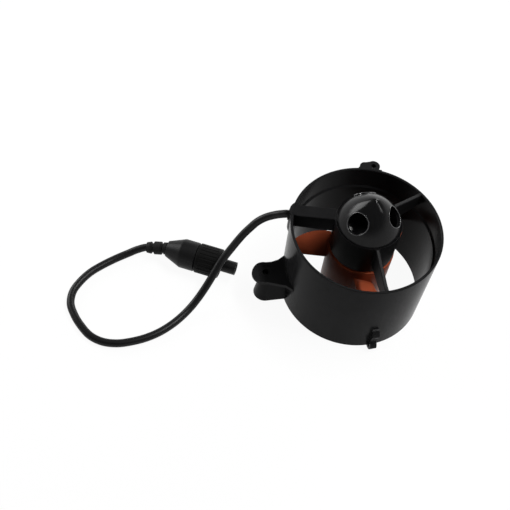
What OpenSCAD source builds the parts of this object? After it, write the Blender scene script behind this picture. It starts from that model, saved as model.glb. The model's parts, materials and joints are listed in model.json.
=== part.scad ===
// Ducted underwater thruster. It stands on its rear rim, with the duct's axis along +Z.
// The origin is the centre of the rear rim, and +Z points to the water inlet.

/* [Duct] */
// Outside diameter of the duct
duct_d = 120; // [112:1:136]
// Length of the duct along its axis
duct_len = 84; // [80:1:96]
// Wall of the duct at the front lip
lip_wall = 2.2; // [1.8:0.1:3]
// Depth of the front lip, from the rim to the throat
lip_depth = 20; // [18:1:24]
// How far the throat stands inside the lip
throat_step = 1.2; // [0.6:0.1:2]
// How much the bore widens from the throat to the rear rim
exit_flare = 0.8; // [0.2:0.1:1.4]
// Chamfer on the rims
rim_chamfer = 0.6; // [0.2:0.1:0.8]

/* [Motor pod] */
// Outside diameter of the motor pod
pod_d = 52; // [50:1:58]
// Length of the motor pod
pod_len = 32; // [30:1:40]
// How far the pod stands out of the front rim
pod_proud = 8; // [6:0.5:12]
// Wall of the motor pod
pod_wall = 2.5; // [2:0.1:3]
// Thickness of the pod's floor
pod_floor = 4; // [3:0.5:6]

/* [Struts] */
// Thickness of the two plain struts
strut_t = 3; // [2:0.5:5]
// Height of a plain strut where it meets the duct
strut_h = 13; // [10:0.5:16]
// Height of a plain strut where it meets the pod
strut_root_h = 20; // [16:0.5:28]
// Thickness of the hollow strut that carries the leads
conduit_t = 11; // [11:0.5:14]
// Height of the hollow strut
conduit_h = 15.5; // [15.5:0.5:18]
// Depth of the cable outlet below the front rim
outlet_drop = 8.2; // [7.8:0.1:8.6]
// Depth of the struts' tongues in the duct wall
tongue = 1; // [0.5:0.1:1.2]

/* [Nose cap] */
// Height of the nose cap
nose_h = 27.5; // [24:0.5:34]
// Width of the ledge between the nose cap and the pod's edge
nose_ledge = 0.3; // [0.2:0.1:1]
// Wall of the nose cap at its tip
nose_wall = 2.2; // [1.6:0.1:3]
// Diameter of the round vents in the nose cap
vent_d = 17; // [12:0.5:18]
// Depth of the nose cap's spigot in the pod
spigot_h = 6; // [4:0.5:8]

/* [Propeller] */
// Length of the propeller hub
hub_len = 52; // [51:1:54]
// How far the hub stands out beyond the pod
hub_proud = 0.6; // [0:0.1:1]
// Wall of the propeller hub
hub_wall = 3.6; // [3:0.1:4.2]
// Thickness of the web in the hub
hub_web = 6; // [5:0.5:8]
// Depth of the round recess in the hub's rear face
nut_recess = 6; // [6:0.5:7]
// Radial gap between the blade tips and the throat
tip_gap = 1.2; // [0.8:0.1:3]
// Gap between the pod and the propeller hub
hub_gap = 2; // [1:0.5:4]
// Advance of the blades for one turn
blade_pitch = 110; // [90:5:150]
// Chord of the blades at the hub
root_chord = 22; // [18:0.5:24]
// Chord of the blades at the tip
tip_chord = 11; // [8:0.5:20]
// How much the chord widens at half span
blade_belly = 1; // [0:0.5:4]
// Thickness of the blades at the hub
blade_t = 3.6; // [2.5:0.1:5]

/* [Motor] */
// Diameter of the motor shaft
shaft_d = 6; // [5:0.5:7]
// Outside diameter of the ball bearings
bearing_d = 13; // [12:0.5:14]
// Width of the ball bearings
bearing_w = 5; // [4:0.5:6]
// Outside diameter of the post that carries the stator
post_d = 18; // [17.5:0.5:19]
// Wall of the steel flux ring
bell_wall = 2; // [1.5:0.1:2.5]
// Thickness of the magnets
magnet_t = 2.5; // [2:0.1:3]
// Gap between the magnets and the stator
air_gap = 0.6; // [0.4:0.1:1]
// Height of the stator stack
stack_h = 22; // [18:1:24]

/* [Bracket] */
// Height of the bracket arm along the duct
arm_h = 31; // [28:1:36]
// Width of the arm at its foot
arm_w = 18.8; // [17:0.2:22]
// Width of the arm under its top plate
arm_top_w = 10.5; // [10:0.5:14]
// Thickness of the top plate
arm_plate = 3.5; // [2.5:0.5:5]
// Reach of the top plate's flare towards -Y, where it meets the duct
arm_flare = 19.5; // [17:0.5:22]
// Reach of the top plate's flare towards +Y
arm_back_flare = 14; // [12:0.5:17]
// Diameter of the top plate's round end
arm_end_d = 19.6; // [18:0.2:24]
// Distance from the duct's wall to the bolt bore
arm_reach = 16.3; // [15:0.1:19]
// Diameter of the bolt bore
arm_bore_d = 5.2; // [4.2:0.1:6.4]

/* [Connector] */
// Outside diameter of the coupling ring
ring_d = 25.6; // [25:0.2:28]
// Length of the coupling ring
ring_len = 20.7; // [18:0.1:24]
// Length of the connector's back shell
shell_len = 26.7; // [24:0.1:32]
// Length of the barrel beyond the coupling ring
barrel_out = 13.6; // [10:0.1:18]
// Outside diameter of the barrel
barrel_d = 11.2; // [10.4:0.1:12.4]
// Length of the strain relief
relief_len = 18; // [15:0.5:22]

/* [Cable] */
// Outside diameter of the cable
cable_d = 6.5; // [6:0.1:7]

/* [Hidden] */
$fn = 96;
fit = 0.05;
slip = 0.1;
eps = 0.01;

// Places along the duct's axis
throat_z = duct_len - lip_depth;
pod_top = duct_len + pod_proud;
pod_base = pod_top - pod_len;
hub_top = pod_base - hub_gap;
hub_base = hub_top - hub_len;
outlet_z = duct_len - outlet_drop;

// Radii of the duct and the pod
duct_r = duct_d / 2;
lip_r = duct_r - lip_wall;
throat_r = lip_r - throat_step;
exit_r = throat_r + exit_flare;
step_run = 1.5;
pod_r = pod_d / 2;
pod_bore_r = pod_r - pod_wall;
nose_r = pod_r - nose_ledge;
spigot_r = pod_bore_r - slip;
spigot_wall = 1.3;
nose_in_r = spigot_r - spigot_wall;
nose_bulge = 1.3;
hollow_bulge = 1.47;
hub_r = pod_r + hub_proud;

// Struts, cable outlet and lugs round the duct, in degrees
strut_angles = [28, 271];
conduit_a = 156;
front_lug_a = 73.4;
rear_lug_a = 273;
vent_a = 96;
vent_from = 4;
vent_tilt = 64;
strut_top = pod_top - 1;
strut_bend = 4;

// Small lugs on the duct
lug_hole_r = 2.1;
lug_foot = 1.5;
lug_eye = [duct_r + 4.6, -2.6];
lug_eye_r = 5.2;
lug_side = [duct_r + 3, 4.4];
lug_side_r = 4.4;
lug_run = lug_side - lug_eye;
lug_lean = asin((lug_eye_r - lug_side_r) / norm(lug_run)) + atan2(-lug_run[0], lug_run[1]);
lug_web_drop = 0.3;
lug_t = 6;
lug_z = duct_len - 8;
rear_lug_t = 5.6;
rear_eye_r = 5.6;
rear_eye = [duct_r + 0.6, rear_eye_r + 0.2];
rear_knob = [duct_r - 0.8, rear_eye_r + 15.4];
rear_hole_x = duct_r + 2.2;

// Cable outlet and the leads that slope up to the pod
outlet_r = cable_d / 2 + 1.35;
lead_bore_r = 3.7;
lead_r = 1.35;
lead_ring_r = 1.75;
lead_slope = 9.5;
lead_sunk = 1;
grommet_in = duct_r - 7;
lead_len = (grommet_in - pod_bore_r) / cos(lead_slope) + 2 * lead_sunk;
potting_spread = 28;
potting_gap = 0.6;
potting_top = pod_top - spigot_h - potting_gap;
boss_proud = 2;
boss_r = 9;
boss_h = 22;
boss_taper = 8;
boss_face = duct_r + boss_proud;
grommet_out = boss_face + 0.4;

// Motor, from the bearings outwards
shaft_r = shaft_d / 2;
running = 0.03;
bearing_r = bearing_d / 2;
post_r = post_d / 2;
bell_r = hub_r - hub_wall - slip;
bell_in_r = bell_r - bell_wall;
magnet_r = bell_in_r - fit;
magnet_in_r = magnet_r - magnet_t;
stator_r = magnet_in_r - air_gap;
flange_r = 18;
flange_t = 3;
flange_z = pod_base + pod_floor;
post_top = flange_z + flange_t;
recess_z = hub_base + nut_recess;
web_top = recess_z + hub_web;
plate_t = 3;
plate_top = web_top + plate_t;
boss_gap = 0.3;
post_end = plate_top + 3;
stack_z = (post_end + pod_base) / 2 - stack_h / 2 - 4;
magnet_h = stack_h + 4;
magnet_z = stack_z - 2;
bell_top = magnet_z + magnet_h;
teeth = 9;
poles = 12;
tooth_w = 4;
yoke_t = 2.6;
shoe_t = 1.5;
shoe_w = 9;
coil_w = 7.6;
coil_over = 2.2;
screw_pcr = 14;
screw_r = 1.5;
screw_head_r = 2.75;
screw_head_h = 2;
screw_count = 4;
clip_t = 0.8;
washer_t = 0.8;
clip_z = post_top + 0.1 + washer_t + 0.1;
shaft_top = clip_z + 3;
nut_h = 5;
nut_washer_t = 1.2;
nut_r = 5.8;
nut_washer_r = 6.2;
nut_recess_r = 17.6;
shaft_end = recess_z - nut_washer_t - nut_h - 1;

// Propeller hub and blades; a blade is placed by its rear edge
hub_tail = 5;
hub_edge = 0.8;
blades = 3;
blade_a = 166;
blade_root_r = hub_r - hub_wall / 2;
blade_tip_r = throat_r - tip_gap;
blade_rear = 31.5;
blade_rear_z = hub_base + blade_rear;
blade_tip_t = 1.6;
blade_camber = 0.04;
blade_edge = 0.14;
stations = 9;
half_points = 10;

// Bracket arm, which points along -X
arm_z = 2.5;
arm_top = arm_z + arm_h;
arm_x = duct_r + arm_reach;
arm_body_x = arm_x - 1.3;
arm_foot = 5;
arm_end_x = arm_x + 1.5;
arm_near = [[duct_r - 2.5, arm_flare], [duct_r + 2, arm_flare - 4.5]];
arm_far = [
  [duct_r - 1.5, arm_back_flare],
  [duct_r + 4, arm_back_flare - 3.4],
  [duct_r + 10, arm_w / 2 - 0.2]
];
arm_crease = arm_x + 5.7;
arm_slope = 20;
bracket_screw_y = 3.8;
bracket_screw_z = [arm_z + 6, arm_z + 17];
bracket_screw_r = 1.75;
bracket_head_r = 3.6;
bracket_head_h = 1.8;
head_sink = 0.65;
head_clear = 5;
bracket_screw_x = throat_r + head_sink;
bracket_screw_end = duct_r + 5.5;

// Connector, which lies on the floor
ring_r = ring_d / 2;
barrel_r = barrel_d / 2;
plug_at = [-152, 46, ring_r];
plug_turn = -26.5;
relief_a = 180 + plug_turn + 7.5;
relief_dip = 12;
relief_r = 5.6;
relief_rib_r = 5.2;
relief_end_r = 4.6;
relief_groove_r = 3.9;
shell_r = ring_r - 0.3;
shell_back_r = 6.8;
shell_flare = 14;
neck_r = 8;
ring_z = shell_len + 0.3;
ring_back = 2.7;
ring_in_r = ring_r - 2.2;
collar_z = ring_z + ring_back + 0.3;
collar_t = 2;
collar_r = ring_in_r - 1;
barrel_end = ring_z + ring_len + barrel_out;
barrel_wall = 1.2;
insert_z = collar_z + 8;
insert_len = barrel_end - insert_z - 4;
pin_r = 0.8;
pin_ring_r = 2.2;
pin_count = 3;
pin_out = 3;
seal_r = 1;
seal_z = collar_z + 6;
flutes = 24;
flute_r = 1;
flute_depth = 0.4;

// Route of the cable, from the outlet to the strain relief
cable_sides = 10;
cable_start = [grommet_out * cos(conduit_a), grommet_out * sin(conduit_a), outlet_z];
route = [
  cable_start, [-61.5, 27.2, 74], [-68, 29.6, 70], [-74, 30.4, 66.8], [-80, 30.2, 62.6],
  [-86, 28.8, 56.8], [-91, 27.2, 51.8], [-96, 25, 46.2], [-101, 22.6, 40], [-106, 20, 34],
  [-111, 16.6, 28.6], [-116, 11.6, 24], [-121, 6.2, 19.2], [-126.5, 1, 14], [-132.5, -4.2, 9],
  [-139, -9.6, 5.4], [-147, -16, 3.6], [-156, -22.4, 3.3], [-166, -27.8, 3.3], [-177, -31.6, 3.3],
  [-189, -33.6, 3.3], [-201, -33.8, 3.3], [-212, -31, 3.3], [-221.2, -24.8, 3.3], [-228.4, -14.6, 3.3],
  [-233.4, -3.6, 3.3], [-236, 8, 3.3], [-233.6, 19, 3.3], [-227, 28.2, 3.3], [-218.4, 36, 3.3],
  [-208, 42, 3.3], [-197, 47, 3.4], [-186, 50.4, 4.6], [-177, 52, 7], plug_relief_end()
];

// Helpers

// A ring of height h between two radii
module tube(r_out, r_in, h) {
  difference() {
    cylinder(r = r_out, h = h);
    translate([0, 0, -1]) cylinder(r = r_in, h = h + 2);
  }
}

// A sector of a ring, centred on angle a and spread to either side
module ring_sector(r_out, r_in, a, spread, h) {
  far = 2 * r_out;
  linear_extrude(h) intersection() {
    difference() {
      circle(r_out);
      circle(r_in);
    }
    rotate(a) polygon([
      [0, 0],
      [far, -far * tan(spread)],
      [far, far * tan(spread)]
    ]);
  }
}

// Copies round the axis
module around(count, start = 0) {
  for (i = [0 : count - 1]) rotate(start + i * 360 / count) children();
}

// Turns a solid that is built along +Z so that it points outwards at an angle, at a height
module outwards(a, z) {
  rotate(a) translate([0, 0, z]) rotate([0, 90, 0]) children();
}

// A side profile drawn as radius and height, made into a plate at an angle
module radial_plate(a, t) {
  rotate(a) rotate([90, 0, 0]) linear_extrude(t, center = true) children();
}

// Duct

// The inside of the duct: front lip, step, throat and slowly widening exit
module duct_bore() {
  rotate_extrude() polygon([
    [0, -1],
    [exit_r + rim_chamfer, -1],
    [exit_r + rim_chamfer, 0],
    [exit_r, rim_chamfer],
    [throat_r, throat_z - step_run],
    [lip_r, throat_z],
    [lip_r, duct_len - rim_chamfer],
    [lip_r + rim_chamfer, duct_len],
    [lip_r + rim_chamfer, duct_len + 1],
    [0, duct_len + 1]
  ]);
}

module duct_outside() {
  rotate_extrude() polygon([
    [0, 0],
    [duct_r - rim_chamfer, 0],
    [duct_r, rim_chamfer],
    [duct_r, duct_len - rim_chamfer],
    [duct_r - rim_chamfer, duct_len],
    [0, duct_len]
  ]);
}

// Round pad on the duct where the cable leaves, flush with the front rim and tapered below
module cable_boss() {
  rotate(conduit_a) translate([boss_face - boss_r, 0, 0]) {
    translate([0, 0, duct_len - boss_h]) cylinder(r = boss_r, h = boss_h);
    translate([0, 0, duct_len - boss_h - boss_taper])
      cylinder(r1 = boss_r - boss_proud, r2 = boss_r, h = boss_taper);
  }
}

// Front lug: a wide ear with one bored eye, just behind the front rim. A web joins its two round
// ends, a little below the line that touches both
module front_lug() {
  foot_x = duct_r - lug_foot;
  foot_w = 2 * lug_eye_r + 2 * lug_side_r;
  out = [cos(lug_lean), sin(lug_lean)];
  rotate(front_lug_a) translate([0, 0, lug_z]) linear_extrude(lug_t) difference() {
    union() {
      translate(lug_eye) circle(lug_eye_r);
      translate(lug_side) circle(lug_side_r);
      polygon([
        [foot_x, lug_eye[1]],
        lug_eye + (lug_eye_r - lug_web_drop) * out,
        lug_side + (lug_side_r - lug_web_drop) * out,
        [foot_x, lug_side[1]]
      ]);
      translate([foot_x, -foot_w / 2]) square([2 * lug_foot, foot_w]);
    }
    translate(lug_eye) circle(lug_hole_r);
  }
}

// Rear lug: a low rib with two round ends, bored across
module rear_lug() {
  foot_x = duct_r - lug_foot;
  radial_plate(rear_lug_a, rear_lug_t) difference() {
    union() {
      translate(rear_eye) circle(rear_eye_r);
      translate(rear_knob) circle(rear_eye_r);
      translate([foot_x, rear_eye[1]]) square([rear_eye_r - lug_foot / 2, rear_knob[1] - rear_eye[1]]);
    }
    translate([rear_hole_x, rear_eye[1]]) circle(lug_hole_r);
  }
}

module duct_shell() {
  color("#1d1d1f") difference() {
    union() {
      duct_outside();
      cable_boss();
      front_lug();
      rear_lug();
    }
    duct_bore();
    strut_slots();
    outwards(conduit_a, outlet_z)
      translate([0, 0, grommet_in - lead_sunk]) cylinder(r = outlet_r + fit, h = duct_r);
    bracket_holes();
  }
}

// Slots in the lip that the struts' tongues slide into from the front
module strut_slots() {
  r_out = lip_r + tongue + slip;
  for (a = strut_angles) strut(a, strut_t + 2 * slip, strut_root_h, strut_h + slip, r_out, 1);
  strut(conduit_a, conduit_t + 2 * slip, conduit_h, conduit_h + slip, r_out, 1);
}

// Struts and motor pod

// One strut, with its heights at the pod and at the duct: its top falls from the pod to the rim
module strut(a, t, h_in, h_out, r_out, above = 0) {
  r_in = pod_r - pod_wall / 2;
  intersection() {
    radial_plate(a, t) polygon([
      [r_in, strut_top - h_in],
      [duct_r, duct_len - h_out],
      [duct_r, duct_len + above],
      [lip_r - strut_bend, duct_len + above],
      [r_in, strut_top]
    ]);
    cylinder(r = r_out, h = 2 * duct_len);
  }
}

module strut_frame() {
  r_out = lip_r + tongue;
  color("#18181a") difference() {
    union() {
      translate([0, 0, pod_base]) cylinder(r = pod_r, h = pod_len);
      for (a = strut_angles) strut(a, strut_t, strut_root_h, strut_h, r_out);
      strut(conduit_a, conduit_t, conduit_h, conduit_h, r_out);
    }
    translate([0, 0, flange_z]) cylinder(r = pod_bore_r, h = pod_len);
    translate([0, 0, pod_base - 1]) cylinder(r = post_r + slip, h = pod_len);
    around(screw_count, 45) translate([screw_pcr, 0, pod_base - 1]) cylinder(r = screw_r + fit, h = pod_len);
    along_leads() translate([0, 0, -lead_sunk]) cylinder(r = lead_bore_r, h = lead_len + lead_sunk);
    outwards(conduit_a, outlet_z)
      translate([0, 0, grommet_in - slip]) cylinder(r = outlet_r + fit, h = duct_r);
  }
}

// Turns a solid that is built along +Z so that it runs from the grommet up to the pod
module along_leads() {
  rotate(conduit_a) translate([grommet_in, 0, outlet_z]) rotate([0, lead_slope - 90, 0]) children();
}

// The three leads, made thicker by a gap where they cut their holes
module lead_bundle(gap) {
  along_leads() around(3) translate([lead_ring_r, 0, -lead_sunk - gap])
    cylinder(r = lead_r + gap, h = lead_len + 2 * gap);
}

// Nose cap

// Share of the base radius that a nose has at a share s of its height; a larger bulge is blunter
function nose_at(s, bulge) = pow(1 - pow(s, bulge), 1 / 1.3);

// A nose of a base radius, a height and a bulge
module nose_solid(r, h, bulge) {
  n = 20;
  outline = [for (i = [0 : n]) [r * nose_at(i / n, bulge), h * i / n]];
  rotate_extrude() polygon(concat([[0, 0]], outline));
}

module nose_cap() {
  color("#1f1f21") translate([0, 0, pod_top]) difference() {
    union() {
      nose_solid(nose_r, nose_h, nose_bulge);
      translate([0, 0, -spigot_h]) cylinder(r = spigot_r, h = spigot_h + eps);
    }
    nose_solid(nose_in_r, nose_h - nose_wall, hollow_bulge);
    translate([0, 0, -spigot_h - 1]) cylinder(r = nose_in_r, h = spigot_h + 1 + eps);
    around(3, vent_a) translate([0, 0, vent_from]) rotate([0, vent_tilt, 0]) cylinder(d = vent_d, h = pod_d);
  }
}

// Propeller

function pitch_angle(r) = atan(blade_pitch / (2 * PI * r));
function share(i) = i / (stations - 1);
function chord_at(u) = root_chord + (tip_chord - root_chord) * pow(u, 3) + 4 * blade_belly * u * (1 - u);
function thick_at(u) = blade_t + (blade_tip_t - blade_t) * u;

// Half thickness of a blade section at x, from -1 at the rear edge to 1 at the front edge
function section(x) = blade_edge + (1 - blade_edge) * pow(1 - x * x, 0.6);

// A point of a blade: station i, place x along the chord, side +1 or -1
function blade_point(i, x, side) =
  let (
    u = share(i),
    r = blade_root_r + (blade_tip_r - blade_root_r) * u,
    b = pitch_angle(r),
    along = (x + 1) * chord_at(u) / 2,
    camber = blade_camber * chord_at(u) * (1 - x * x),
    off = camber + side * section(x) * thick_at(u) / 2,
    arc = off * sin(b) - along * cos(b),
    a = arc / r * 180 / PI
  ) [r * cos(a), r * sin(a), along * sin(b) + off * cos(b)];

// One blade: sections carried along the radius and closed at both ends
module blade() {
  n = 2 * half_points;
  xs = [for (j = [0 : half_points - 1]) -cos(180 * j / (half_points - 1))];
  points = [
    for (i = [0 : stations - 1])
      for (j = [0 : n - 1])
        j < half_points ? blade_point(i, xs[j], -1) : blade_point(i, xs[n - 1 - j], 1)
  ];
  sides = [
    for (i = [0 : stations - 2])
      for (j = [0 : n - 1])
        let (k = (j + 1) % n)
          each [
            [i * n + j, (i + 1) * n + k, (i + 1) * n + j],
            [i * n + j, i * n + k, (i + 1) * n + k]
          ]
  ];
  last = (stations - 1) * n;
  root = [
    for (j = [0 : half_points - 2])
      each [[j, n - 2 - j, j + 1], [j, n - 1 - j, n - 2 - j]]
  ];
  tip = [
    for (j = [0 : half_points - 2])
      each [[last + j, last + j + 1, last + n - 2 - j], [last + j, last + n - 2 - j, last + n - 1 - j]]
  ];
  polyhedron(points = points, faces = concat(sides, root, tip), convexity = 4);
}

// Hub with a round rear edge; it hides the motor and is open to the pod
module hub() {
  difference() {
    rotate_extrude() polygon(concat(
      [[0, hub_base]],
      [for (a = [0 : 15 : 90]) [hub_r - hub_tail * (1 - sin(a)), hub_base + hub_tail * (1 - cos(a))]],
      [[hub_r, hub_top - hub_edge], [hub_r - hub_edge, hub_top], [0, hub_top]]
    ));
    translate([0, 0, web_top]) cylinder(r = bell_r + slip, h = hub_len);
    translate([0, 0, hub_base - 1]) cylinder(r = nut_recess_r, h = nut_recess + 1);
    translate([0, 0, hub_base - 1]) cylinder(r = shaft_r + fit, h = hub_len);
    around(screw_count) translate([screw_pcr, 0, hub_base - 1]) cylinder(r = screw_r + slip, h = hub_len);
  }
}

module propeller() {
  color("#d8521e") union() {
    hub();
    around(blades, blade_a) translate([0, 0, blade_rear_z]) blade();
  }
}

// Rotor

module rotor_bell() {
  color("#8f9296") difference() {
    union() {
      translate([0, 0, web_top]) tube(bell_r, bell_in_r, bell_top - web_top);
      translate([0, 0, web_top]) cylinder(r = bell_r - eps, h = plate_t);
      translate([0, 0, web_top]) cylinder(r = shaft_r + 1.4, h = post_end - boss_gap - web_top);
    }
    translate([0, 0, web_top - 1]) cylinder(r = shaft_r + fit, h = 20);
    around(screw_count) translate([screw_pcr, 0, web_top - 1]) cylinder(r = screw_r + fit, h = plate_t + 2);
    around(screw_count, 45) translate([screw_pcr, 0, web_top - 1]) cylinder(r = 3, h = plate_t + 2);
  }
}

module rotor_magnets() {
  color("#b9bcc0") for (i = [0 : poles - 1])
    translate([0, 0, magnet_z]) ring_sector(magnet_r, magnet_in_r, i * 360 / poles, 150 / poles, magnet_h);
}

// A cap screw along +Z with its head below, of a shank length
module cap_screw(len) {
  translate([0, 0, -screw_head_h]) cylinder(r = screw_head_r, h = screw_head_h);
  translate([0, 0, -eps]) cylinder(r = screw_r, h = len);
}

module bell_screws() {
  color("#c4c6c8") around(screw_count)
    translate([screw_pcr, 0, recess_z]) cap_screw(hub_web + plate_t - 0.2);
}

module motor_shaft() {
  groove_r = shaft_r - 0.4;
  color("#cfd1d3") rotate_extrude() polygon([
    [0, shaft_end],
    [shaft_r - 0.5, shaft_end],
    [shaft_r, shaft_end + 0.5],
    [shaft_r, clip_z - slip],
    [groove_r, clip_z - slip],
    [groove_r, clip_z + clip_t + slip],
    [shaft_r, clip_z + clip_t + slip],
    [shaft_r, shaft_top - 0.5],
    [shaft_r - 0.5, shaft_top],
    [0, shaft_top]
  ]);
}

module thrust_washer() {
  color("#d9d4c4") translate([0, 0, post_top + 0.1]) tube(shaft_r + 2.4, shaft_r + fit, washer_t);
}

module shaft_clip() {
  color("#77797c") translate([0, 0, clip_z]) difference() {
    tube(shaft_r + 2, shaft_r - 0.4 + fit, clip_t);
    translate([0, -1.6, -1]) cube([shaft_r + 4, 3.2, clip_t + 2]);
  }
}

module prop_washer() {
  color("#c4c6c8") translate([0, 0, recess_z - nut_washer_t])
    tube(nut_washer_r, shaft_r + slip, nut_washer_t);
}

module prop_nut() {
  color("#c4c6c8") translate([0, 0, recess_z - nut_washer_t - nut_h]) difference() {
    cylinder(r = nut_r, h = nut_h, $fn = 6);
    translate([0, 0, -1]) cylinder(r = shaft_r + fit, h = nut_h + 2);
  }
}

// Stator and bearings

module bearing_tube() {
  color("#2b2c2e") difference() {
    rotate_extrude() polygon([
      [shaft_r + 1.5, post_end],
      [post_r - fit, post_end],
      [post_r - fit, flange_z],
      [flange_r, flange_z],
      [flange_r, post_top],
      [shaft_r + 1.5, post_top]
    ]);
    translate([0, 0, post_top - bearing_w]) cylinder(r = bearing_r + fit, h = bearing_w + 1);
    translate([0, 0, post_end - 1]) cylinder(r = bearing_r + fit, h = bearing_w + 1);
    around(screw_count, 45)
      translate([screw_pcr, 0, flange_z - 1]) cylinder(r = screw_r + slip, h = flange_t + 2);
  }
}

module tube_screws() {
  color("#c4c6c8") around(screw_count, 45)
    translate([screw_pcr, 0, post_top]) rotate([180, 0, 0]) cap_screw(flange_t + pod_floor - 0.5);
}

module ball_bearing(z) {
  groove = 0.4;
  r_mid = (bearing_r + shaft_r) / 2;
  translate([0, 0, z]) difference() {
    tube(bearing_r, shaft_r + running, bearing_w);
    for (h = [-1, bearing_w - groove]) translate([0, 0, h]) tube(r_mid + 0.9, r_mid - 0.9, groove + 1);
  }
}

module front_bearing() {
  color("#d4d6d8") ball_bearing(post_top - bearing_w);
}

module rear_bearing() {
  color("#d4d6d8") ball_bearing(post_end);
}

module stator_core() {
  color("#5c5f63") translate([0, 0, stack_z]) linear_extrude(stack_h) difference() {
    union() {
      circle(post_r + yoke_t);
      around(teeth) translate([0, -tooth_w / 2]) square([stator_r - shoe_t / 2, tooth_w]);
      intersection() {
        difference() {
          circle(stator_r);
          circle(stator_r - shoe_t);
        }
        around(teeth) translate([0, -shoe_w / 2]) square([stator_r + 1, shoe_w]);
      }
    }
    circle(post_r);
  }
}

module stator_windings() {
  in_r = post_r + yoke_t + 0.2;
  out_r = stator_r - shoe_t - 0.5;
  color("#b0622c") around(teeth) difference() {
    translate([in_r, -coil_w / 2, stack_z - coil_over])
      cube([out_r - in_r, coil_w, stack_h + 2 * coil_over]);
    translate([0, -tooth_w / 2 - fit, stack_z - fit])
      cube([2 * stator_r, tooth_w + 2 * fit, stack_h + 2 * fit]);
  }
}

// Cast block that holds the ends of the leads in the pod, beside the flange
module lead_potting() {
  color("#2a2c31") difference() {
    translate([0, 0, flange_z])
      ring_sector(
        pod_bore_r - slip, flange_r + potting_gap, conduit_a, potting_spread, potting_top - flange_z
      );
    lead_bundle(fit);
  }
}

module motor_leads() {
  color("#9c2f26") lead_bundle(0);
}

module cable_grommet() {
  color("#0f0f10") difference() {
    outwards(conduit_a, outlet_z)
      translate([0, 0, grommet_in]) cylinder(r = outlet_r, h = grommet_out - grommet_in);
    lead_bundle(fit);
  }
}

// Bracket arm

// Plan of the top plate: a round end, tapered sides and a flare to the duct
module arm_plate_plan() {
  inside = duct_r - arm_foot;
  translate([arm_end_x, 0]) circle(arm_end_d / 2);
  polygon(concat(
    [[inside, arm_flare]],
    arm_near,
    [[arm_end_x, arm_w / 2], [arm_end_x, -arm_w / 2]],
    [for (i = [len(arm_far) - 1 : -1 : 0]) [arm_far[i][0], -arm_far[i][1]]],
    [[inside, -arm_back_flare]]
  ));
}

// The arm below its top plate: sides that lean in, and a round end that leans in with them
module arm_body() {
  h = arm_h - arm_plate + eps;
  translate([duct_r - arm_foot, 0, arm_z]) rotate([90, 0, 90]) linear_extrude(arm_body_x - duct_r + arm_foot)
    polygon([
      [-arm_w / 2, 0],
      [arm_w / 2, 0],
      [arm_top_w / 2, h],
      [-arm_top_w / 2, h]
    ]);
  translate([arm_body_x, 0, arm_z]) cylinder(r1 = arm_w / 2, r2 = arm_top_w / 2, h = h);
}

module mount_bracket() {
  color("#19191b") difference() {
    rotate(180) union() {
      translate([0, 0, arm_top - arm_plate]) linear_extrude(arm_plate) arm_plate_plan();
      arm_body();
    }
    cylinder(r = duct_r + fit, h = 3 * duct_len, center = true);
    translate([-arm_x, 0, 0]) cylinder(d = arm_bore_d, h = 2 * arm_h);
    translate([-arm_crease, -arm_h, arm_top]) rotate([0, -arm_slope, 0])
      translate([-arm_h, 0, 0]) cube([arm_h, 2 * arm_h, arm_h]);
    bracket_holes();
  }
}

// Countersunk holes from inside the duct into the bracket arm
module bracket_holes() {
  at_bracket_screws() {
    translate([0, 0, -head_clear]) cylinder(r = bracket_head_r + slip, h = head_clear + eps);
    cylinder(r1 = bracket_head_r + slip, r2 = bracket_screw_r + slip, h = bracket_head_h);
    cylinder(r = bracket_screw_r + fit, h = bracket_screw_end - bracket_screw_x + 0.5);
  }
}

module at_bracket_screws() {
  for (y = [-1, 1], z = bracket_screw_z)
    translate([-bracket_screw_x, y * bracket_screw_y, z]) rotate([0, -90, 0]) children();
}

module bracket_screws() {
  color("#c4c6c8") at_bracket_screws() {
    cylinder(r1 = bracket_head_r, r2 = bracket_screw_r, h = bracket_head_h);
    cylinder(r = bracket_screw_r, h = bracket_screw_end - bracket_screw_x);
  }
}

// Connector and cable

// Puts a solid that is built along +Z on the connector's axis
module on_plug() {
  translate(plug_at) rotate([0, 0, plug_turn]) rotate([0, 90, 0]) children();
}

// Direction of the strain relief, from the back shell to the cable
function relief_dir() =
  [cos(relief_a) * cos(relief_dip), sin(relief_a) * cos(relief_dip), -sin(relief_dip)];

function plug_relief_end() = plug_at + relief_len * relief_dir();

module plug_body() {
  color("#161617") on_plug() difference() {
    rotate_extrude() polygon([
      [0, 0],
      [shell_back_r, 0],
      [shell_r, shell_flare],
      [shell_r, shell_len - 0.8],
      [shell_r - 0.8, shell_len],
      [neck_r, shell_len],
      [neck_r, collar_z],
      [0, collar_z]
    ]);
  }
}

// Ribbed boot that bends down from the back shell to the cable
module strain_relief() {
  rib = relief_len / 5;
  color("#121213") translate(plug_at)
    rotate([0, 0, relief_a]) rotate([0, 90 + relief_dip, 0]) rotate_extrude() polygon([
      [0, 0],
      [relief_rib_r, 0],
      [relief_rib_r, rib * 0.8],
      [relief_groove_r, rib],
      [relief_groove_r, rib * 1.4],
      [relief_r, rib * 1.5],
      [relief_r, rib * 3.1],
      [relief_groove_r, rib * 3.3],
      [relief_groove_r, rib * 3.8],
      [relief_rib_r, rib * 4],
      [relief_end_r, relief_len],
      [0, relief_len]
    ]);
}

module plug_shank() {
  color("#141415") on_plug() difference() {
    union() {
      translate([0, 0, collar_z]) cylinder(r = collar_r, h = collar_t);
      translate([0, 0, collar_z]) cylinder(r = barrel_r, h = barrel_end - collar_z);
    }
    translate([0, 0, insert_z]) cylinder(r = barrel_r - barrel_wall, h = barrel_end);
    translate([0, 0, seal_z]) rotate_extrude() translate([barrel_r + 0.2, 0]) circle(seal_r + fit, $fn = 24);
  }
}

module plug_insert() {
  color("#2b2b2d") on_plug() translate([0, 0, insert_z])
    cylinder(r = barrel_r - barrel_wall - slip, h = insert_len);
}

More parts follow.
